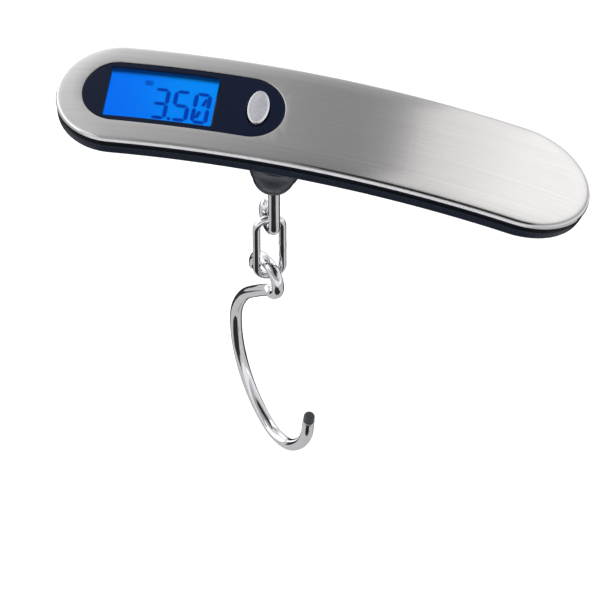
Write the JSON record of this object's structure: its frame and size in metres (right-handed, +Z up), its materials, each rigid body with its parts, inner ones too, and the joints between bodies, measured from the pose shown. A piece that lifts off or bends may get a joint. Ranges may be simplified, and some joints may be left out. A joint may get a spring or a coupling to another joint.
{
  "type": "digital luggage scale",
  "caption": "Curved hand grip with a display window and button, hanging a swivel eye, chain link and open hook that weighs a bag.",
  "frame": {"origin": "middle of the grip's top face, where the hand holds it", "axes": "+X along the grip towards its free end, +Z up against gravity as the scale hangs, +Y away from the side that reads the display upright"},
  "size_m": [0.1564, 0.0368, 0.1531],
  "materials": {
    "brushed_steel": "brushed along the grip, rounded bright rim",
    "chrome": "mirror chrome plating",
    "black_gloss": "moulded black, gloss",
    "navy_gloss": "navy black panel, gloss",
    "clear": "clear moulded pane",
    "lcd_blue": "lit blue display",
    "white_diffuser": "white light guide",
    "board_green": "solder mask",
    "black_rubber": "matt",
    "grey_plastic": "fine matt",
    "alloy": "machined",
    "zinc_steel": "zinc plated",
    "brass": "plated spring strip",
    "red_insulation": "wire sheath"
  },
  "bodies": {
    "handle": {"top_cover": "brushed_steel", "upper_frame": "black_gloss", "lower_housing": "black_gloss", "window_bezel": "navy_gloss", "display_lens": "clear", "lcd_panel": "lcd_blue", "lcd_backlight": "white_diffuser", "zebra_strip_front": "black_rubber", "zebra_strip_rear": "black_rubber", "main_board": "board_green", "chip_blob": "black_rubber", "tact_switch": "grey_plastic", "load_cell": "alloy", "gauge_cover": "white_diffuser", "chassis_plate": "alloy", "load_cell_screw_1": "zinc_steel", "load_cell_screw_2": "zinc_steel", "housing_screw_1": "zinc_steel", "housing_screw_2": "zinc_steel", "housing_screw_3": "zinc_steel", "housing_screw_4": "zinc_steel", "board_screw_1": "zinc_steel", "board_screw_2": "zinc_steel", "load_cell_wires": "red_insulation", "battery_tray": "grey_plastic", "battery_cell": "zinc_steel", "battery_contact_negative": "brass", "battery_contact_positive": "brass", "hub_dome": "black_gloss"},
    "button": {"button_cap": "chrome", "switch_plunger": "grey_plastic"},
    "battery_door": {"battery_door": "black_gloss"},
    "swivel": {"swivel_stem": "chrome", "swivel_washer": "zinc_steel", "swivel_nut": "zinc_steel"},
    "link": {"chain_link": "chrome"},
    "hook": {"hook": "chrome", "hook_tip_cap": "black_rubber"}
  },
  "joints": [
    {"name": "button_press", "type": "slide", "parent": "handle", "child": "button", "axis": [-0.0915, 0, -0.9958], "range_m": [0, 0.0006], "stiffness_N_per_m": 1500},
    {"name": "battery_door_hinge", "type": "hinge", "parent": "handle", "child": "battery_door", "pos_m": [0.05475, 0, -0.03069], "axis": [0, -1, 0], "range_deg": [0, 95]},
    {"name": "swivel_turn", "type": "hinge", "parent": "handle", "child": "swivel", "pos_m": [-0.01613, 0, 0], "axis": [0, 0, 1], "continuous": true},
    {"name": "link_swing", "type": "hinge", "parent": "swivel", "child": "link", "pos_m": [-0.01801, 0.00301, -0.0518], "axis": [-0.5299, 0.848, 0], "range_deg": [-55, 55]},
    {"name": "hook_swing", "type": "hinge", "parent": "link", "child": "hook", "pos_m": [-0.01801, 0.00301, -0.074], "axis": [0.7837, 0.6211, 0], "range_deg": [-55, 55]}
  ]
}
